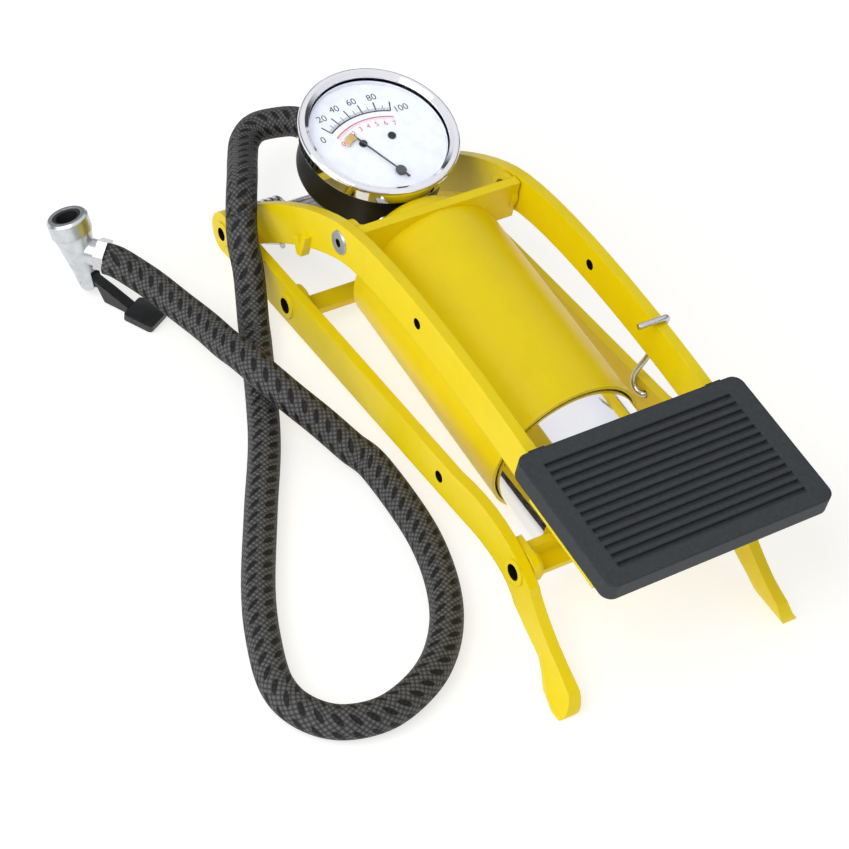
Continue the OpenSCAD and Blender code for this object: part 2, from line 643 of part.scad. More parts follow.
module gauge_dial() {
    color([0.88, 0.89, 0.93]) on_gauge() difference() {
        translate([0, 0, dial_z - 0.8]) cylinder(r = case_r - 1.4 - fit, h = 0.8);
        translate([spindle_off, 0, dial_z - 2]) cylinder(r = 1.4, h = 4);
    }
}
dial_screw_xy = [[0.9, -6.6], [1.1, 5.4]];
module dial_screws() {
    color(black) on_gauge() for (p = dial_screw_xy) translate([p[0], p[1], dial_z]) cylinder(r = 1.5, h = 0.7);
}
module gauge_movement() {
    plate_h = dial_z - 0.8;
    color(brass) on_gauge() difference() {
        union() {
            translate([-4, -9, plate_h - 1.2]) cube([26, 18, 1.2]);
            translate([4, -4, 4.6 - gauge_depth]) cube([8, 8, gauge_depth + plate_h - 5.6]);
        }
        translate([spindle_off, 0, plate_h - 4]) cylinder(r = 1.1, h = 6);
    }
}
module bourdon_tube() {
    color(brass) on_gauge() translate([0, 0, 4 - gauge_depth + 4]) rotate(20)
        rotate_extrude(angle = 270) translate([19, 0]) polygon([[-1, -2.6], [1, -2.6], [1, 2.6], [-1, 2.6]]);
}
needle_turn = 23.5;
needle_len = 23;
module gauge_needle() {
    color([0.25, 0.25, 0.27]) on_gauge() translate([spindle_off, 0, 0]) rotate(180 + needle_turn) union() {
        translate([0, 0, dial_z - 3]) cylinder(r = 1, h = 4.6);
        translate([0, 0, dial_z + 0.9]) cylinder(r = 2, h = 0.7);
        translate([0, -0.25, dial_z + 1]) cube([needle_len, 0.5, 0.4]);
        translate([-4, -0.4, dial_z + 1]) cube([4, 0.8, 0.4]);
        translate([needle_len - 3, -0.25, dial_z + 1]) linear_extrude(0.4)
            polygon([[0, 0], [3.4, 0], [3.2, 3.6], [1.6, 5.6], [-0.2, 5.2], [0.4, 2.8]]);
    }
}

// ---- hose: leaves the ferrule rearwards, swings round the hinge end and loops over the floor ----
hose_dir = [-cos(pump_tilt), 0, sin(pump_tilt)];
hose_exit = [front_pivot_x, 0, front_pivot_z] - (manifold_rear_u - ferrule_len - 0.1) * hose_dir
    - manifold_drop * [sin(pump_tilt), 0, cos(pump_tilt)];
hose_points = concat([hose_exit, hose_exit + 4 * hose_dir, hose_exit + 8 * hose_dir],
    [[-22, -3, 32], [-27, -8, 29.5], [-30, -16, 27], [-26.8, -22.3, 25], [-17.4, -28.5, 26], [-4.1, -36.3, 30.5],
    [6.6, -42.6, 32], [15.6, -47.3, 29.5], [23, -50.4, 26], [31, -52, 20], [38, -54, 13], [46, -57, 8], [56, -61, 5.8],
    [94, -79, 5.8], [124, -97, 5.8], [153, -114, 5.8], [173, -123, 5.8], [191, -128, 5.8], [204, -125, 5.8],
    [213, -115, 5.8], [215, -98, 5.8], [206, -77, 5.8], [187, -61, 5.8], [159, -52, 5.8], [125, -51, 6.3],
    [113, -55.5, 8.5], [101.5, -61, 12.5], [90.5, -67, 16.5], [78, -71.5, 18.5], [66, -73.6, 17.5],
    [56, -74.8, 15], [44, -76, 13], [30, -79.3, 12], [18, -83.5, 13], [10.6, -88, 15]],
    [chuck_at + 4 * port_dir, chuck_at]);
function hose_spline(p, q, r, s, t) = 0.5 * (2 * q + (r - p) * t + (2 * p - 5 * q + 4 * r - s) * t * t
    + (3 * q - p - 3 * r + s) * t * t * t);
hose_last = len(hose_points) - 1;
hose_path = concat(
    [for (i = [0:hose_last - 1], t = [0, 0.5]) hose_spline(hose_points[max(i - 1, 0)], hose_points[i],
        hose_points[i + 1], hose_points[min(i + 2, hose_last)], t)],
    [hose_points[hose_last]]);
hose_len = hose_total(0);
function hose_total(i) = i >= len(hose_path) - 1 ? 0 : norm(hose_path[i + 1] - hose_path[i]) + hose_total(i + 1);
echo(hose_length_mm = hose_len);
hose_sides = 10;
module hose() {
    m = len(hose_path);
    color(black) translate([hinge_x, 0, 0]) polyhedron(
        points = [for (i = [0:m - 1]) each ring(hose_path, i, hose_r, hose_sides, [0, 0, 1])],
        faces = tube_faces(m, hose_sides));
}

// ---- chuck, standing at the hose's end: frame of the body, and frame of the lever on its pin ----
module on_chuck() {
    translate([hinge_x + chuck_base[0], chuck_base[1], chuck_base[2]]) rotate([0, 0, chuck_turn])
        rotate([0, chuck_lean, 0]) children();
}
// along the side port, from the body's axis towards the hose
module on_port() {
    translate([hinge_x, 0, 0] + port_foot)
        rotate([0, 90 - asin(port_dir[2]), atan2(port_dir[1], port_dir[0]) + 180])
            mirror([0, 0, 1]) children();
}
seal_t = 9;
seal_r = 5.4;
pin_h = 4.4;
slot_w = 5;
module chuck_body() {
    neck = 5;
    color(zinc) difference() {
        union() {
            on_chuck() rotate_extrude() polygon(concat([[0, 0]], arc([1.8, 2.4], 2.4, 270, 360, 5),
                [[4.6, 7], [5.4, 13], [6.6, 20.5], [chuck_r - 0.4, 24], [chuck_r, 24.4], [chuck_r, chuck_len - 0.8],
                [chuck_r - 0.8, chuck_len], [0, chuck_len]]));
            on_port() cylinder(r = neck, h = port_out);
        }
        on_chuck() {
            translate([0, 0, chuck_len - seal_t]) cylinder(r = seal_r, h = seal_t + 1);
            translate([0, 0, port_h]) cylinder(r = 2, h = chuck_len);
            translate([-chuck_r, -slot_w / 2, -1]) cube([chuck_r + 2.9, slot_w, 9.2]);
            translate([0, 0, pin_h]) rotate([90, 0, 0]) cylinder(r = 1, h = 2 * chuck_r, center = true);
        }
        on_port() cylinder(r = 1.6, h = port_out + 1);
    }
}
module chuck_seal() {
    color(black) on_chuck() translate([0, 0, chuck_len - seal_t + 0.2]) tube(seal_r, valve_hole_r, seal_t - 0.6);
}
module chuck_core() {
    color(brass) on_chuck() union() {
        translate([0, 0, port_h]) cylinder(r = 1, h = chuck_len - seal_t - port_h - 0.5);
        translate([0, 0, port_h + 2.8]) cylinder(r = 1.95, h = 0.8);
    }
}
module chuck_nut() {
    color(steel) on_port() translate([0, 0, port_out]) difference() {
        cylinder(r = 6.2, h = nut_t, $fn = 6);
        translate([0, 0, -1]) cylinder(r = 1.6, h = nut_t + 2);
    }
}
module chuck_lever() {
    hub_w = slot_w - 0.5;
    pin = pin_h * [sin(chuck_lean), cos(chuck_lean)];
    under = 2.7;                              // how far the lever reaches below its pin inside the fork
    color(black) translate([hinge_x + chuck_base[0], chuck_base[1], chuck_base[2]]) rotate([0, 0, chuck_turn])
        difference() {
            union() {
                translate([0, hub_w / 2, 0]) rotate([90, 0, 0]) linear_extrude(hub_w) union() {
                    translate(pin) circle(r = 2.5);
                    translate(pin) polygon(concat([[0, 0], [-0.9, 2.3], [-9.5, -0.4]],
                        [for (z = [-3.6, -6.2]) [-18.4, z]], [[-8.6, -6.2]],
                        [for (x = [-4.4, 0]) [x * cos(chuck_lean) - under * sin(chuck_lean),
                            -x * sin(chuck_lean) - under * cos(chuck_lean)]]));
                }
                translate([-23, 0, -2.2]) rounded_box([12.4, 11.5], 1.5, 2.6);
            }
            translate([pin[0], 0, pin[1]]) rotate([90, 0, 0])
                cylinder(r = 1.06, h = 2 * chuck_r, center = true);
        }
}
module lever_pin() {
    color(steel) on_chuck() translate([0, 0, pin_h]) rotate([90, 0, 0]) cylinder(r = 1, h = 2 * 4.2, center = true);
}

right_rail();
left_rail();
rear_cross_bar();
cross_bar_rivets();
hinge_axle();
axle_spacers();
axle_sleeve();
torsion_spring();
front_pivot_rivets();
latch_wire();
right_arm();
left_arm();
pedal_plate();
pedal_pad();
yoke_rivets();
front_stirrup();
plunger_tube();
plunger_cap();
cup_seal();
cup_washer();
cup_screw();
barrel_tube();
guide_ring();
yoke();
head_gasket();
cylinder_head();
head_screws();
outlet_manifold();
valve_ball();
valve_spring();
hose_ferrule();
gauge_stem();
gauge_case();
gauge_bezel();
gauge_lens();
gauge_dial();
dial_screws();
bourdon_tube();
gauge_movement();
gauge_needle();
hose();
chuck_nut();
chuck_body();
chuck_seal();
chuck_core();
chuck_lever();
lever_pin();
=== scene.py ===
import math

import bpy
from mathutils import Matrix, Vector


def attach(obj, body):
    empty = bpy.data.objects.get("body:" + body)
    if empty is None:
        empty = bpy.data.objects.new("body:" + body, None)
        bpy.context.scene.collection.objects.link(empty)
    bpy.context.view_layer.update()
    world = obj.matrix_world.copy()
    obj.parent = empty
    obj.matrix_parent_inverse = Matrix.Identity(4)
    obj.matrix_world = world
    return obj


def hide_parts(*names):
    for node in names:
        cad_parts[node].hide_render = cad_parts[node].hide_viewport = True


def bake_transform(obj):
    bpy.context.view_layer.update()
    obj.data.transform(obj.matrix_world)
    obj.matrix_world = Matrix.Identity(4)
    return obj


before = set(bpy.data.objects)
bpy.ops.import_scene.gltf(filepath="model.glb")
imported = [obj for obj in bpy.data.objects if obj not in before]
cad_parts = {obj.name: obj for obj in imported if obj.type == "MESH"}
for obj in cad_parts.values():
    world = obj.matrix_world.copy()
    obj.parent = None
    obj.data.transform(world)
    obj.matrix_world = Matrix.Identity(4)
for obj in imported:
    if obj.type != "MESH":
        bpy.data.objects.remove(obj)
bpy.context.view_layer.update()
MM = 0.001

# ---- camera, studio light and floor ----
# The camera looks down on the folded pump from the front right. The world is white to the camera
# and a soft studio gradient to everything else, and the floor is pale.
CAMERA_AT = Vector((477.9, -421.3, 666.5)) * MM
CAMERA_RIGHT = Vector((0.51772, 0.8456, 0.13047))
CAMERA_UP = Vector((-0.67145, 0.3071, 0.67430))
CAMERA_BACK = Vector((0.53012, -0.4367, 0.72677))
LENS_MM = 108.47
SENSOR_MM = 36.0
PAPER_WHITE = (0.985, 0.985, 0.975, 1)
BELOW_GREY = 0.55
HORIZON_GREYS = ((0.48, 0.50), (0.53, 0.06), (0.62, 0.09), (0.70, 0.85))
HORIZON_BLUE = 1.08
SOFT_LIGHT = 0.5
LIGHTS_AIM = Vector((0, 0, 0.03))
FLOOR_HALF = 3.0
FLOOR_DROP = 0.0004
FLOOR_GREY = (0.45, 0.45, 0.45, 1)
FLOOR_GLOW = (1, 1, 0.99, 1)
FLOOR_GLOW_STRENGTH = 0.66


def new_node(tree, kind, **values):
    """Adds a node and sets its properties, or its inputs where a key starts with in_."""
    node = tree.nodes.new(kind)
    for key, value in values.items():
        if key.startswith("in_"):
            node.inputs[key[3:].replace("_", " ")].default_value = value
        else:
            setattr(node, key, value)
    return node


def make_camera():
    camera = bpy.data.objects.new("camera", bpy.data.cameras.new("camera"))
    turn = Matrix((CAMERA_RIGHT, CAMERA_UP, CAMERA_BACK)).transposed()
    camera.matrix_world = Matrix.Translation(CAMERA_AT) @ turn.to_4x4()
    camera.data.lens = LENS_MM
    camera.data.sensor_width = SENSOR_MM
    camera.data.clip_start = 0.01
    bpy.context.collection.objects.link(camera)
    bpy.context.scene.camera = camera


def make_world():
    world = bpy.data.worlds.new("studio")
    bpy.context.scene.world = world
    world.use_nodes = True
    tree = world.node_tree
    tree.nodes.clear()
    path = new_node(tree, "ShaderNodeLightPath")
    coords = new_node(tree, "ShaderNodeTexCoord")
    split = new_node(tree, "ShaderNodeSeparateXYZ")
    ramp = new_node(tree, "ShaderNodeValToRGB")
    stops = ramp.color_ramp.elements
    stops[0].position, stops[0].color = 0.0, (BELOW_GREY, BELOW_GREY, BELOW_GREY, 1)
    stops[1].position, stops[1].color = 1.0, (1.0, 1.0, 1.0, 1)
    for at, shade in HORIZON_GREYS:
        stop = stops.new(at)
        stop.color = (shade, shade, shade * HORIZON_BLUE, 1)
    half = new_node(tree, "ShaderNodeMath", operation="MULTIPLY_ADD")
    half.inputs[1].default_value = 0.5
    half.inputs[2].default_value = 0.5
    seen = new_node(tree, "ShaderNodeBackground", in_Color=PAPER_WHITE, in_Strength=1.0)
    soft = new_node(tree, "ShaderNodeBackground", in_Color=(1, 1, 1, 1), in_Strength=SOFT_LIGHT)
    mirror = new_node(tree, "ShaderNodeBackground", in_Strength=1.0)
    glossy = new_node(tree, "ShaderNodeMixShader")
    last = new_node(tree, "ShaderNodeMixShader")
    through = new_node(tree, "ShaderNodeMath", operation="MAXIMUM")
    out = new_node(tree, "ShaderNodeOutputWorld")
    link = tree.links.new
    link(coords.outputs["Generated"], split.inputs[0])
    link(split.outputs["Z"], half.inputs[0])
    link(half.outputs[0], ramp.inputs[0])
    link(ramp.outputs[0], mirror.inputs["Color"])
    link(path.outputs["Is Glossy Ray"], glossy.inputs[0])
    link(soft.outputs[0], glossy.inputs[1])
    link(mirror.outputs[0], glossy.inputs[2])
    link(path.outputs["Is Camera Ray"], through.inputs[0])
    link(path.outputs["Is Transmission Ray"], through.inputs[1])
    link(through.outputs[0], last.inputs[0])
    link(glossy.outputs[0], last.inputs[1])
    link(seen.outputs[0], last.inputs[2])
    link(last.outputs[0], out.inputs["Surface"])


def make_light(name, at, size, power):
    """A square area light at a place in metres, facing the middle of the pump."""
    light = bpy.data.lights.new(name, "AREA")
    light.size = size
    light.energy = power
    obj = bpy.data.objects.new(name, light)
    obj.location = at
    obj.rotation_euler = (LIGHTS_AIM - Vector(at)).to_track_quat("-Z", "Y").to_euler()
    bpy.context.collection.objects.link(obj)


def make_floor():
    mesh = bpy.data.meshes.new("floor")
    corners = [(-FLOOR_HALF, -FLOOR_HALF, 0), (FLOOR_HALF, -FLOOR_HALF, 0),
               (FLOOR_HALF, FLOOR_HALF, 0), (-FLOOR_HALF, FLOOR_HALF, 0)]
    mesh.from_pydata(corners, [], [(0, 1, 2, 3)])
    floor = bpy.data.objects.new("floor", mesh)
    floor.location.z = -FLOOR_DROP
    bpy.context.collection.objects.link(floor)
    material = bpy.data.materials.new("pale_floor")
    material.use_nodes = True
    shader = material.node_tree.nodes["Principled BSDF"]
    shader.inputs["Base Color"].default_value = FLOOR_GREY
    shader.inputs["Emission Color"].default_value = FLOOR_GLOW
    shader.inputs["Emission Strength"].default_value = FLOOR_GLOW_STRENGTH
    shader.inputs["Roughness"].default_value = 0.9
    shader.inputs["Specular IOR Level"].default_value = 0.1
    mesh.materials.append(material)


make_camera()
make_world()
make_light("key", (0.15, -0.75, 0.95), 0.7, 6.9)
make_light("side", (-0.15, -1.25, 0.38), 0.9, 5.2)
make_light("front", (1.2, 0.2, 0.5), 0.7, 2.0)
make_floor()
bpy.context.scene.view_settings.view_transform = "Standard"


# ---- air hose ----
# Rubber hose under a braid of dark grey yarn with black flecks, crimped under the gauge and clamped
# at the chuck. It swings round the hinge end and loops over the floor. It is drawn as two pieces
# that meet above the right rail.
HINGE_X = -117.0
HOSE_R = 5.8
HOSE_SIDES = 28
HOSE_STEP = 1.6
BRAID_STRANDS = 16
BRAID_PITCH_MM = 2.2
FLECK_COLUMNS = 6
FLECK_PITCH_MM = 5.4
FLECK_LEAN = -52.0
FLECK_HALF_WIDE = 1.05
FLECK_HALF_LONG = 2.6
# The route is in millimetres from the hinge axle's middle on the floor, as the part's source has it.
HOSE_ROUTE = [
    (-6.4, 0, 32.8), (-10.4, 0, 33), (-14.4, 0, 33.2),
    (-22, -3, 32), (-27, -8, 29.5), (-30, -16, 27), (-26.8, -22.3, 25), (-17.4, -28.5, 26),
    (-4.1, -36.3, 30.5), (6.6, -42.6, 32), (15.6, -47.3, 29.5), (23, -50.4, 26), (31, -52, 20),
    (38, -54, 13), (46, -57, 8), (56, -61, 5.8),
    (94, -79, 5.8), (124, -97, 5.8), (153, -114, 5.8), (173, -123, 5.8), (191, -128, 5.8),
    (204, -125, 5.8), (213, -115, 5.8), (215, -98, 5.8), (206, -77, 5.8), (187, -61, 5.8),
    (159, -52, 5.8), (125, -51, 6.3), (113, -55.5, 8.5), (101.5, -61, 12.5), (90.5, -67, 16.5),
    (78, -71.5, 18.5), (66, -73.6, 17.5), (56, -74.8, 15), (44, -76, 13), (30, -79.3, 12),
    (18, -83.5, 13), (10.6, -88, 15), (5.7, -92.2, 17.2), (2.7, -94.9, 17.4)]
HOSE_SEAM = 10


def srgb(r, g, b):
    """A screen colour of 0 to 255 as the linear colour that a shader takes."""
    linear = [c / 255 / 12.92 if c <= 10 else ((c / 255 + 0.055) / 1.055) ** 2.4 for c in (r, g, b)]
    return (*linear, 1)


def principled(name, **values):
    """A material with one Principled shader, its constant inputs set by name."""
    material = bpy.data.materials.new(name)
    material.use_nodes = True
    shader = material.node_tree.nodes["Principled BSDF"]
    for key, value in values.items():
        shader.inputs[key.replace("_", " ")].default_value = value
    return material, material.node_tree, shader


def smooth_route(route, step):
    """Points about one step apart on a Catmull-Rom curve through the route, in metres."""
    points = [Vector((HINGE_X + x, y, z)) * MM for x, y, z in route]
    out = []
    for i in range(len(points) - 1):
        p, q, r, s = (points[min(max(i + k, 0), len(points) - 1)] for k in (-1, 0, 1, 2))
        count = max(2, round((r - q).length / step))
        for k in range(count):
            t = k / count
            out.append(0.5 * (2 * q + (r - p) * t + (2 * p - 5 * q + 4 * r - s) * t * t
                              + (3 * q - p - 3 * r + s) * t ** 3))
    return out + [points[-1]]


def sweep(path, radius, sides):
    """Rings of a tube along a path: its vertices, and the distance along it at each ring."""
    along, total, verts = [], 0.0, []
    normal = Vector((0, 0, 1))
    for i, point in enumerate(path):
        if i:
            total += (point - path[i - 1]).length
        along.append(total)
        direction = (path[min(i + 1, len(path) - 1)] - path[max(i - 1, 0)]).normalized()
        normal = (normal - direction * normal.dot(direction)).normalized()
        side = direction.cross(normal)
        for k in range(sides):
            angle = math.tau * k / sides
            verts.append(point + radius * (math.cos(angle) * normal + math.sin(angle) * side))
    return verts, along


def tube_piece(name, path, radius, sides, start=0.0):
    """A closed tube with a UV map: turns round it in u, and metres along it, from start, in v."""
    verts, along = sweep(path, radius, sides)
    rings = len(path)
    faces = [(i * sides + k, i * sides + (k + 1) % sides,
              (i + 1) * sides + (k + 1) % sides, (i + 1) * sides + k)
             for i in range(rings - 1) for k in range(sides)]
    quads = len(faces)
    faces += [tuple(range(sides))[::-1], tuple((rings - 1) * sides + k for k in range(sides))]
    mesh = bpy.data.meshes.new(name)
    mesh.from_pydata(verts, [], faces)
    uv = mesh.uv_layers.new(name="braid")
    for poly in mesh.polygons[:quads]:
        i, k = divmod(poly.index, sides)
        corners = ((k, i), (k + 1, i), (k + 1, i + 1), (k, i + 1))
        for loop, (turn, ring) in zip(poly.loop_indices, corners):
            uv.data[loop].uv = (turn / sides, start + along[ring])
    mesh.polygons.foreach_set("use_smooth", [True] * quads + [False, False])
    piece = bpy.data.objects.new(name, mesh)
    bpy.context.collection.objects.link(piece)
    return piece, along[-1]


def make_braid():
    """Dark grey yarns in a fine diamond, with black flecks slanted along one hand of the yarns."""
    material, tree, shader = principled("hose_braid", Roughness=0.6, Specular_IOR_Level=0.3)
    link = tree.links.new
    uv = new_node(tree, "ShaderNodeUVMap", uv_map="braid")
    split = new_node(tree, "ShaderNodeSeparateXYZ")
    link(uv.outputs[0], split.inputs[0])
    turn, metres = split.outputs["X"], split.outputs["Y"]

    def calc(kind, a, b=None):
        node = new_node(tree, "ShaderNodeMath", operation=kind)
        for slot, value in enumerate((a, b)):
            if value is None:
                continue
            if isinstance(value, (int, float)):
                node.inputs[slot].default_value = value
            else:
                link(value, node.inputs[slot])
        return node.outputs[0]

    # fine crossing yarns, paler on their crowns and darker between them: partly the weave, partly
    # painted highlight and shade
    around = calc("MULTIPLY", turn, float(BRAID_STRANDS))
    lengthwise = calc("MULTIPLY", metres, 1 / (BRAID_PITCH_MM * MM))
    left = calc("ADD", around, lengthwise)
    right = calc("SUBTRACT", around, lengthwise)
    left_yarn = calc("ABSOLUTE", calc("SINE", calc("MULTIPLY", left, math.pi)))
    right_yarn = calc("ABSOLUTE", calc("SINE", calc("MULTIPLY", right, math.pi)))
    weave = calc("MULTIPLY", left_yarn, right_yarn)
    # slanted black flecks on a lattice that climbs one row in each turn round the hose
    column = calc("MULTIPLY", turn, float(FLECK_COLUMNS))
    row = calc("SUBTRACT", calc("MULTIPLY", metres, 1 / (FLECK_PITCH_MM * MM)), turn)
    column_mm = math.tau * HOSE_R / FLECK_COLUMNS
    x = calc("MULTIPLY", calc("SUBTRACT", calc("FRACT", column), 0.5), column_mm)
    y = calc("MULTIPLY", calc("SUBTRACT", calc("FRACT", row), 0.5), FLECK_PITCH_MM)
    cosine, sine = math.cos(math.radians(FLECK_LEAN)), math.sin(math.radians(FLECK_LEAN))
    across = calc("ADD", calc("MULTIPLY", x, cosine), calc("MULTIPLY", y, sine))
    along = calc("SUBTRACT", calc("MULTIPLY", y, cosine), calc("MULTIPLY", x, sine))
    reach = calc("ADD", calc("POWER", calc("DIVIDE", across, FLECK_HALF_WIDE), 2.0),
                 calc("POWER", calc("DIVIDE", along, FLECK_HALF_LONG), 2.0))
    edge = new_node(tree, "ShaderNodeMapRange", in_From_Min=1.1, in_From_Max=0.75)
    link(reach, edge.inputs["Value"])
    fleck = edge.outputs["Result"]
    # painted highlight and shade: the yarn colour runs from dark between the yarns to pale on their
    # crowns, partly the weave's own tone
    ramp = new_node(tree, "ShaderNodeValToRGB")
    stops = ramp.color_ramp.elements
    stops[0].position, stops[0].color = 0.0, srgb(34, 34, 35)
    stops[1].position, stops[1].color = 0.8, srgb(88, 88, 89)
    link(weave, ramp.inputs[0])
    mix = new_node(tree, "ShaderNodeMix", data_type="RGBA")
    mix.inputs["B"].default_value = srgb(2, 2, 3)
    link(fleck, mix.inputs["Factor"])
    link(ramp.outputs[0], mix.inputs["A"])
    link(mix.outputs["Result"], shader.inputs["Base Color"])
    bump = new_node(tree, "ShaderNodeBump", in_Strength=0.6, in_Distance=0.0004)
    link(calc("SUBTRACT", weave, fleck), bump.inputs["Height"])
    link(bump.outputs["Normal"], shader.inputs["Normal"])
    return material


def make_hose():
    braid = make_braid()
    path = smooth_route(HOSE_ROUTE, HOSE_STEP * MM)
    seam_x, seam_y, seam_z = HOSE_ROUTE[HOSE_SEAM]
    seam_at = Vector((HINGE_X + seam_x, seam_y, seam_z)) * MM
    seam = min(range(len(path)), key=lambda i: (path[i] - seam_at).length)
    riser, riser_length = tube_piece("hose_riser", path[:seam + 1], HOSE_R * MM, HOSE_SIDES)
    run, run_length = tube_piece("hose_run", path[seam:], HOSE_R * MM, HOSE_SIDES, riser_length)
    for piece in (riser, run):
        piece.data.materials.append(braid)
        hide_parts("hose")
    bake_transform(run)
    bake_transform(riser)


make_hose()


# ---- lower rails, cross bar and rivets ----
# Pressed steel strip in thick yellow enamel. The rails stand on their feet at the pedal end, and the
# cross bar near the hinge is held between them by two hollow rivets, whose bores are in the dark.
CROSS_RIVET_BORE = (47.5, 14.16, 3.0)
RIGHT_RAIL_HOLE = (150.6, 26.5, 2.2)
LEFT_RAIL_HOLE = (150.6, 29.5, 1.4)
BORE_MARGIN = 0.12


def new_group(name, inputs, outputs):
    """A shader group with float inputs (name, default) and typed outputs (name, socket kind)."""
    group = bpy.data.node_groups.new(name, "ShaderNodeTree")
    for socket, default in inputs:
        made = group.interface.new_socket(socket, in_out="INPUT", socket_type="NodeSocketFloat")
        made.default_value = default
    for socket, kind in outputs:
        group.interface.new_socket(socket, in_out="OUTPUT", socket_type=kind)
    return group, new_node(group, "NodeGroupInput"), new_node(group, "NodeGroupOutput")


def make_grain_group():
    """A noise bump over edges rounded by Round metres, with a mottle from 0 to 1."""
    group, source, out = new_group(
        "fine_grain", [("Scale", 400.0), ("Height", 0.0001), ("Round", 0.0004)],
        [("Normal", "NodeSocketVector"), ("Mottle", "NodeSocketFloat")])
    coords = new_node(group, "ShaderNodeTexCoord")
    noise = new_node(group, "ShaderNodeTexNoise", in_Detail=3.0, in_Roughness=0.6)
    bump = new_node(group, "ShaderNodeBump", in_Strength=0.5)
    bevel = new_node(group, "ShaderNodeBevel", samples=4)
    link = group.links.new
    link(source.outputs["Round"], bevel.inputs["Radius"])
    link(bevel.outputs["Normal"], bump.inputs["Normal"])
    link(coords.outputs["Object"], noise.inputs["Vector"])
    link(source.outputs["Scale"], noise.inputs["Scale"])
    link(noise.outputs["Fac"], bump.inputs["Height"])
    link(source.outputs["Height"], bump.inputs["Distance"])
    link(bump.outputs["Normal"], out.inputs["Normal"])
    link(noise.outputs["Fac"], out.inputs["Mottle"])
    return group


def make_edge_group():
    """A mask that is 1 where an edge stands out, from the angle between bevelled and plain normals."""
    group, source, out = new_group("painted_edge_highlight", [("Width", 0.0006)], [("Mask", "NodeSocketFloat")])
    bevel = new_node(group, "ShaderNodeBevel", samples=4)
    plain = new_node(group, "ShaderNodeNewGeometry")
    dot = new_node(group, "ShaderNodeVectorMath", operation="DOT_PRODUCT")
    spread = new_node(group, "ShaderNodeMapRange", in_From_Min=0.98, in_From_Max=0.72)
    link = group.links.new
    link(source.outputs["Width"], bevel.inputs["Radius"])
    link(bevel.outputs["Normal"], dot.inputs[0])
    link(plain.outputs["Normal"], dot.inputs[1])
    link(dot.outputs["Value"], spread.inputs["Value"])
    link(spread.outputs["Result"], out.inputs["Mask"])
    return group


GRAIN = make_grain_group()
EDGE_HIGHLIGHT = make_edge_group()


def add_grain(tree, shader, scale, height, low, high, rounding=0.0004):
    """Gives the shader a fine bump, and a colour that drifts between low and high."""
    grain = new_node(tree, "ShaderNodeGroup", node_tree=GRAIN)
    grain.inputs["Scale"].default_value = scale
    grain.inputs["Height"].default_value = height
    grain.inputs["Round"].default_value = rounding
    ramp = new_node(tree, "ShaderNodeValToRGB")
    stops = ramp.color_ramp.elements
    stops[0].position, stops[0].color = 0.3, low
    stops[1].position, stops[1].color = 0.7, high
    tree.links.new(grain.outputs["Mottle"], ramp.inputs[0])
    tree.links.new(ramp.outputs[0], shader.inputs["Base Color"])
    tree.links.new(grain.outputs["Normal"], shader.inputs["Normal"])
    return ramp


def wear_edges(tree, shader, ramp, tint, width):
    """Paints a highlight: shades the colour towards a paler tint along the edges that stand out."""
    edge = new_node(tree, "ShaderNodeGroup", node_tree=EDGE_HIGHLIGHT)
    edge.inputs["Width"].default_value = width
    mix = new_node(tree, "ShaderNodeMix", data_type="RGBA")
    mix.inputs["B"].default_value = tint
    tree.links.new(edge.outputs["Mask"], mix.inputs["Factor"])
    tree.links.new(ramp.outputs[0], mix.inputs["A"])
    tree.links.new(mix.outputs["Result"], shader.inputs["Base Color"])


def make_enamel():
    """Glossy yellow enamel with a slight orange peel, and a painted highlight along its edges."""
    material, tree, shader = principled("yellow_enamel", Roughness=0.38, Specular_IOR_Level=0.32)
    ramp = add_grain(tree, shader, 90.0, 0.00003, srgb(225, 200, 0), srgb(230, 205, 2))
    # painted highlight: a paler yellow along the edges that stand out
    wear_edges(tree, shader, ramp, srgb(236, 214, 40), 0.0004)
    return material


def make_plain(name, low, high, roughness, scale, height, rounding=0.0003, **more):
    """A rubber, plastic, paint or ink with a fine grain."""
    material, tree, shader = principled(name, Roughness=roughness, **more)
    add_grain(tree, shader, scale, height, low, high, rounding)
    return material


def dress(material, *nodes):
    """Gives the finish to carried-over solids."""
    for node in nodes:
        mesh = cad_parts[node].data
        mesh.materials.clear()
        mesh.materials.append(material)


def darken_bore(node, bore):
    """Puts the wall of a bore across the pump in shadow. A bore is its middle's x and z, in
    millimetres from the hinge axle's middle on the floor, and its radius."""
    x, z, radius = bore
    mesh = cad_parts[node].data
    mesh.materials.append(SHADOW)
    for poly in mesh.polygons:
        reach = math.hypot(poly.center.x - (HINGE_X + x) * MM, poly.center.z - z * MM)
        if reach < (radius + BORE_MARGIN) * MM:
            poly.material_index = len(mesh.materials) - 1


YELLOW_ENAMEL = make_enamel()
SHADOW = make_plain("bore_shadow", srgb(8, 7, 4), srgb(16, 14, 6), 0.8, 600.0, 0.00002,
                    Specular_IOR_Level=0.1)
dress(YELLOW_ENAMEL, "right_rail", "left_rail", "rear_cross_bar", "cross_bar_rivets")
darken_bore("right_rail", RIGHT_RAIL_HOLE)
darken_bore("left_rail", LEFT_RAIL_HOLE)
darken_bore("cross_bar_rivets", CROSS_RIVET_BORE)


# ---- hinge axle with its spacers and sleeve ----
# A hollow axle, peened over outside the rails and enamelled with them. Zinc-plated spacers keep the
# arms apart from the rails, and a bright steel sleeve carries the return spring.
AXLE_BORE = (0.0, 8.5, 2.6)


def make_metal(name, low, high, roughness, scale, height):
    material, tree, shader = principled(name, Metallic=1.0, Roughness=roughness)
    add_grain(tree, shader, scale, height, low, high, 0.0003)
    return material


STEEL = make_metal("bright_steel", (0.52, 0.52, 0.54, 1), (0.64, 0.64, 0.66, 1), 0.25, 900.0, 0.00002)
ZINC = make_metal("zinc_plate", (0.50, 0.53, 0.55, 1), (0.66, 0.68, 0.70, 1), 0.30, 260.0, 0.00003)
dress(YELLOW_ENAMEL, "hinge_axle")
dress(ZINC, "axle_spacers")
dress(STEEL, "axle_sleeve")
darken_bore("hinge_axle", AXLE_BORE)


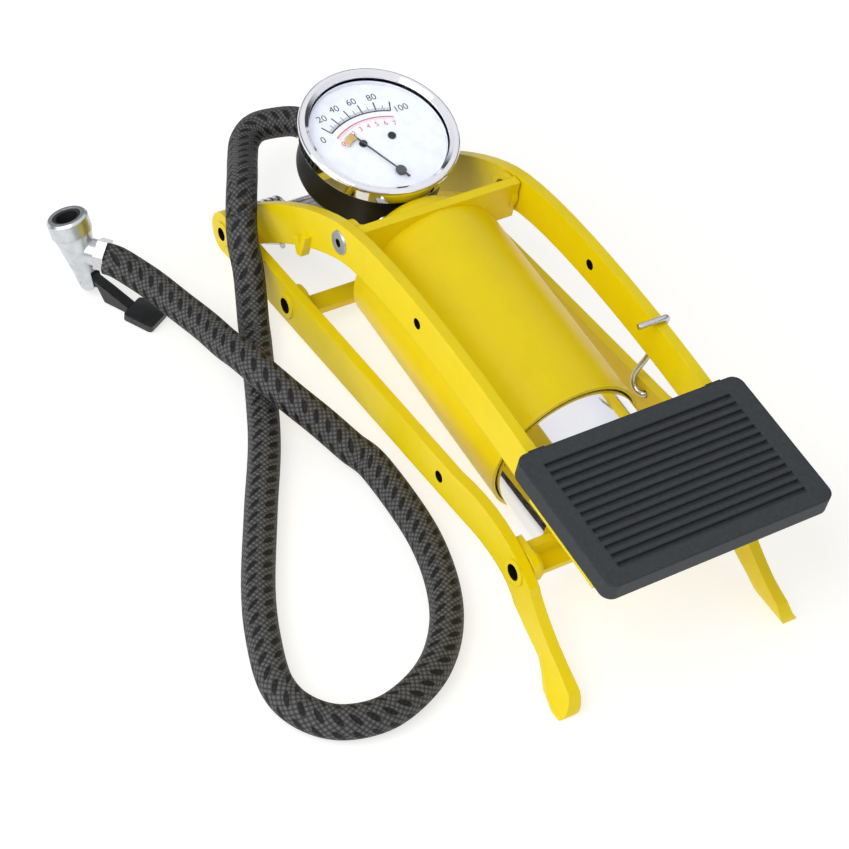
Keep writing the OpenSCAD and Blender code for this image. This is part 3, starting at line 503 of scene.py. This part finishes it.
# ---- return spring ----
# Bright spring wire wound round the axle's sleeve, on the path that the part's source gives. Its
# lower leg reaches forward in the frame and its upper leg lies inside the right arm, which it lifts.
HINGE_Z = 8.5
ARM_INNER = 33.5
WIRE_SIDES = 16
WIRE_STEP = 0.7
SPRING_WIRE_R = 1.0
COIL_R = 6.9
COIL_RISE = 0.4
COIL_START = 86.5
COIL_SWEEP = 1663.5
COIL_STEPS = 148
COIL_Y = (-20.0, 1.5 - ARM_INNER)
LOW_LEG = Vector((0.89, 0.45, -0.055)).normalized()
HIGH_LEG = Vector((0.766, 0, 0.643)).normalized()
LOW_LEG_AT = (50, 30, 10, 3)
HIGH_LEG_AT = (3, 10, 20)
HIGH_LEG_END = Vector((22.1, -3.3, 18.3))


def wire_piece(name, points, radius):
    """A closed round wire through points in millimetres from the hinge axle's middle on the floor."""
    piece, _ = tube_piece(name, smooth_route(points, WIRE_STEP * MM), radius * MM, WIRE_SIDES)
    piece.data.materials.append(STEEL)
    return piece


def spring_points():
    """Lower leg, coils and upper leg of the torsion spring."""
    curls = []
    for i in range(COIL_STEPS + 1):
        t = i / COIL_STEPS
        angle = math.radians(COIL_START + COIL_SWEEP * t)
        curls.append(Vector((COIL_R * math.cos(angle), COIL_Y[0] + (COIL_Y[1] - COIL_Y[0]) * t,
                             HINGE_Z + COIL_RISE + COIL_R * math.sin(angle))))
    low_leg = [curls[0] + d * LOW_LEG for d in LOW_LEG_AT]
    high_leg = [curls[-1] + d * HIGH_LEG for d in HIGH_LEG_AT]
    return low_leg + curls + high_leg + [curls[-1] + HIGH_LEG_END]


spring = wire_piece("return_spring", [tuple(p) for p in spring_points()], SPRING_WIRE_R)
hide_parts("torsion_spring")
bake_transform(spring)


# ---- front stirrup and its pivot rivets ----
# A folded strip of the same enamelled steel, slung between the rails on two hollow rivets. The
# plunger is fixed to it, so it rocks with the pump.
FRONT_RIVET_BORE = (197.8, 28.0, 3.0)

dress(YELLOW_ENAMEL, "front_stirrup", "front_pivot_rivets")
darken_bore("front_pivot_rivets", FRONT_RIVET_BORE)


# ---- latch wire ----
# Bright wire, riveted in the left rail and bent up past the arm. Its stub lies over the arm and
# keeps the pump folded.
LATCH_WIRE_R = 1.1
RAIL_Z_SLOPE = math.tan(math.radians(6.8))
RAIL_OUTER = 44.8
RAIL_INNER = 40.8
LATCH_X = 150.6
LATCH_TOP = 71.96
LATCH_HUB = HINGE_Z + LATCH_X * RAIL_Z_SLOPE + 3
LATCH_SIDE = RAIL_INNER - 1.6


def latch_points():
    """From the end riveted in the rail up past the arm's edge to the stub over the arm."""
    shape = [(0, RAIL_OUTER + 1.4, LATCH_HUB), (0, RAIL_INNER - 0.1, LATCH_HUB),
             (-2.4, RAIL_INNER - 1.3, LATCH_HUB - 0.4), (-5, LATCH_SIDE, LATCH_HUB + 0.8),
             (-6, LATCH_SIDE, LATCH_HUB + 4), (-5.2, LATCH_SIDE, LATCH_TOP - 34),
             (-2, LATCH_SIDE, LATCH_TOP - 24), (0, LATCH_SIDE, LATCH_TOP - 13),
             (1.6, LATCH_SIDE, LATCH_TOP - 4), (2.4, LATCH_SIDE - 0.9, LATCH_TOP - 1),
             (3, LATCH_SIDE - 3.6, LATCH_TOP), (3, ARM_INNER - 3, LATCH_TOP),
             (2.8, ARM_INNER - 7.5, LATCH_TOP - 0.2)]
    return [(LATCH_X + dx, y, z) for dx, y, z in shape]


latch = wire_piece("latch_hook", latch_points(), LATCH_WIRE_R)
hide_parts("latch_wire")
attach(latch, "latch")


# ---- plunger, its cap and its rubber cup ----
# A chromed tube with a zinc-plated cap at its rear end. A rubber cup is held to the cap by a bright
# washer and screw, and seals inside the barrel.
CHROME = make_metal("chrome_plate", (0.80, 0.80, 0.83, 1), (0.86, 0.86, 0.88, 1), 0.06, 40.0, 0.000004)
RUBBER = make_plain("black_rubber", srgb(14, 14, 15), srgb(26, 26, 27), 0.6, 700.0, 0.00004)
dress(CHROME, "plunger_tube")
dress(ZINC, "plunger_cap")
dress(RUBBER, "cup_seal")
dress(STEEL, "cup_washer", "cup_screw")


# ---- barrel, guide ring, yoke and cylinder head ----
# The drawn steel barrel, the yoke behind it and the head are enamelled. A gasket seals the head,
# four bright screws hold it, and a plastic ring at the front guides the plunger.
PLASTIC = make_plain("black_plastic", srgb(22, 23, 24), srgb(40, 41, 42), 0.42, 500.0, 0.00003)
dress(YELLOW_ENAMEL, "barrel_tube", "yoke", "cylinder_head")
dress(PLASTIC, "guide_ring")
dress(RUBBER, "head_gasket")
dress(STEEL, "head_screws")


# ---- outlet manifold, check valve and hose ferrule ----
# A zinc-plated body fixed to the head, with a bright ball and spring inside it. A steel ferrule is
# crimped over the end of the hose.
dress(ZINC, "outlet_manifold")
dress(STEEL, "valve_ball", "valve_spring", "hose_ferrule")


# ---- gauge: case, stem, works, dial and print ----
# A black enamelled steel case on a brass stem, with a brass tube and movement inside. The dial is
# white painted tin, held by two black screws, and has one black and one red scale printed on it.
GAUGE_AT = Vector((HINGE_X + 27.1, 0, 67))
GAUGE_TURN = Matrix.Rotation(math.radians(8.9), 4, "Y")
CASE_WALL_REACH = (25.3, 25.8)
PRINT_Z = -4.87
ARC_AT = (17.2, 0.2)
ARC_R = 28.7
ARC_WIDTH = 0.55
ARC_FROM, ARC_TO = 212.0, 158.0
BLACK_TICKS = 50
TEN_TICK, FIVE_TICK, ONE_TICK = (4.6, 0.0085), (2.9, 0.0048), (1.7, 0.0034)
RED_R = 26.1
RED_WIDTH = 0.4
RED_TICKS = 35
RED_NUMBER_INSET = 3.0
RED_FROM, RED_STEP = 216.0, 8.57
NUMBER_TURN = 90.0
BLACK_HEIGHT, RED_HEIGHT = 4.0, 3.0
BLACK_NUMBERS = [("0", 30.2, 221), ("20", 35.4, 206), ("40", 35.6, 194.5), ("60", 35.4, 182),
                 ("80", 35.6, 168.5), ("100", 30.8, 150.5)]


def on_dial(x, y):
    """A printed point, from millimetres towards the pedal end and the left of the gauge's middle."""
    return (GAUGE_AT + GAUGE_TURN @ Vector((x, y, PRINT_Z))) * MM


def dial_xy(poly):
    """Where a face of the gauge lies, in dial coordinates."""
    return (GAUGE_TURN.inverted() @ (Vector(poly.center) / MM - GAUGE_AT)).xy


def arc_point(radius, degrees):
    angle = math.radians(degrees)
    return ARC_AT[0] + radius * math.cos(angle), ARC_AT[1] + radius * math.sin(angle)


def add_band(parts, r0, r1, a, b, steps=1):
    """A flat strip of the dial between two radii, from share a to share b of the scale."""
    verts, faces = parts
    first = len(verts)
    for i in range(steps + 1):
        share = a + (b - a) * i / steps
        for radius in (r0, r1):
            verts.append(on_dial(*arc_point(radius, ARC_FROM + (ARC_TO - ARC_FROM) * share)))
    for i in range(first, first + 2 * steps, 2):
        faces.append((i, i + 1, i + 3, i + 2))


def add_number(parts, text, radius, degrees, height):
    """A number that stands upright to a reader at the pedal end's right, set beside the scale."""
    verts, faces = parts
    curve = bpy.data.curves.new("number", "FONT")
    curve.body = text
    curve.size = height
    curve.align_x, curve.align_y = "CENTER", "CENTER"
    holder = bpy.data.objects.new("number", curve)
    bpy.context.collection.objects.link(holder)
    depsgraph = bpy.context.evaluated_depsgraph_get()
    mesh = bpy.data.meshes.new_from_object(holder.evaluated_get(depsgraph))
    bpy.data.objects.remove(holder)
    x, y = arc_point(radius, degrees)
    turn = Matrix.Rotation(math.radians(NUMBER_TURN), 2)
    first = len(verts)
    for vert in mesh.vertices:
        flat = turn @ vert.co.xy
        verts.append(on_dial(x + flat.x, y + flat.y))
    faces.extend(tuple(first + i for i in poly.vertices) for poly in mesh.polygons)


def print_piece(name, parts, ink):
    verts, faces = parts
    mesh = bpy.data.meshes.new(name)
    mesh.from_pydata(verts, [], faces)
    mesh.materials.append(ink)
    piece = bpy.data.objects.new(name, mesh)
    bpy.context.collection.objects.link(piece)
    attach(piece, "barrel")


def print_black_scale():
    ink = make_plain("ink_black", srgb(22, 22, 26), srgb(40, 40, 46), 0.6, 900.0, 0.00001)
    parts = ([], [])
    add_band(parts, ARC_R, ARC_R + ARC_WIDTH, 0, 1, 60)
    for i in range(BLACK_TICKS + 1):
        reach, width = TEN_TICK if i % 10 == 0 else FIVE_TICK if i % 5 == 0 else ONE_TICK
        share = i / BLACK_TICKS
        add_band(parts, ARC_R + 0.5, ARC_R + reach, share - width, share + width)
    for text, radius, degrees in BLACK_NUMBERS:
        add_number(parts, text, radius, degrees, BLACK_HEIGHT)
    print_piece("dial_print_black", parts, ink)


def print_red_scale():
    ink = make_plain("ink_red", srgb(188, 34, 52), srgb(206, 52, 68), 0.6, 900.0, 0.00001)
    parts = ([], [])
    add_band(parts, RED_R, RED_R + RED_WIDTH, -0.03, 1.03, 60)
    for i in range(RED_TICKS + 1):
        share = i / RED_TICKS * 1.04 - 0.02
        add_band(parts, RED_R - (1.4 if i % 5 == 0 else 0.9), RED_R, share - 0.003, share + 0.003)
    for value in range(8):
        add_number(parts, str(value), RED_R - RED_NUMBER_INSET, RED_FROM - RED_STEP * value,
                   RED_HEIGHT)
    print_piece("dial_print_red", parts, ink)


BLACK_ENAMEL = make_plain("black_enamel", srgb(7, 7, 8), srgb(13, 13, 15), 0.42, 300.0, 0.00003,
                          Specular_IOR_Level=0.35)
BRASS = make_metal("brass", (0.66, 0.46, 0.18, 1), (0.78, 0.58, 0.26, 1), 0.28, 300.0, 0.00002)
DIAL_WHITE = make_plain("dial_paper", srgb(222, 225, 238), srgb(232, 235, 246), 0.55, 200.0, 0.00001)
dress(BLACK_ENAMEL, "gauge_case")
dress(BRASS, "gauge_stem", "bourdon_tube", "gauge_movement")
dress(DIAL_WHITE, "gauge_dial")
dress(PLASTIC, "dial_screws")
print_black_scale()
print_red_scale()

# the case's inner wall above the dial is painted white as well
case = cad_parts["gauge_case"].data
case.materials.append(DIAL_WHITE)
for poly in case.polygons:
    if CASE_WALL_REACH[0] < dial_xy(poly).length < CASE_WALL_REACH[1]:
        poly.material_index = 1


# ---- needle, lens and bezel of the gauge ----
# A dark lacquered needle with a small brass flag near its tip, pressed on the movement's spindle.
# A clear lens is held over it by a chromed bezel rolled round the case.
SPINDLE_AT = Vector((17, 0))
FLAG_FROM = 19.5


def make_glass():
    material, tree, shader = principled(
        "clear_lens", Roughness=0.03, Transmission_Weight=1.0, IOR=1.02, Specular_IOR_Level=0.25)
    add_grain(tree, shader, 60.0, 0.000002, (0.97, 0.98, 0.99, 1), (1, 1, 1, 1))
    return material


def paint_flag():
    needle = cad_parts["gauge_needle"].data
    needle.materials.append(BRASS)
    for poly in needle.polygons:
        if (dial_xy(poly) - SPINDLE_AT).length > FLAG_FROM:
            poly.material_index = 1


NEEDLE_GREY = make_plain("needle_enamel", srgb(62, 64, 70), srgb(78, 80, 86), 0.4, 500.0, 0.00001)
dress(NEEDLE_GREY, "gauge_needle")
paint_flag()
dress(make_glass(), "gauge_lens")
dress(CHROME, "gauge_bezel")


# ---- arms, yoke rivets and pedal plate ----
# Two enamelled strips, pivoted on the axle and welded to the plate under the pad. Zinc-plated rivets
# with a small bore join them to the yoke's ears, and each arm has one round hole.
ARM_HOLE = (115.0, 64.0, 2.0)
YOKE_RIVET_BORE = (64.4, 57.5, 1.6)

dress(YELLOW_ENAMEL, "right_arm", "left_arm", "pedal_plate")
dress(ZINC, "yoke_rivets")
darken_bore("yoke_rivets", YOKE_RIVET_BORE)
darken_bore("left_arm", ARM_HOLE)
darken_bore("right_arm", ARM_HOLE)


# ---- pedal pad ----
# Moulded rubber with grooves for grip, a dull blue-black, stretched over the pedal plate. Its edges
# are soft from the mould.
PAD_RUBBER = make_plain("pad_rubber", srgb(40, 43, 46), srgb(50, 54, 57), 0.6, 700.0, 0.00003,
                        rounding=0.0013, Specular_IOR_Level=0.35)
dress(PAD_RUBBER, "pedal_pad")


# ---- valve chuck on the hose ----
# A zinc-plated body with a rubber seal in its mouth and a brass core that opens the valve. A bright
# hexagon nut clamps the hose, and a black plastic lever on a steel pin locks the chuck.
dress(STEEL, "chuck_nut", "lever_pin")
dress(ZINC, "chuck_body")
dress(RUBBER, "chuck_seal")
dress(BRASS, "chuck_core")
dress(PLASTIC, "chuck_lever")
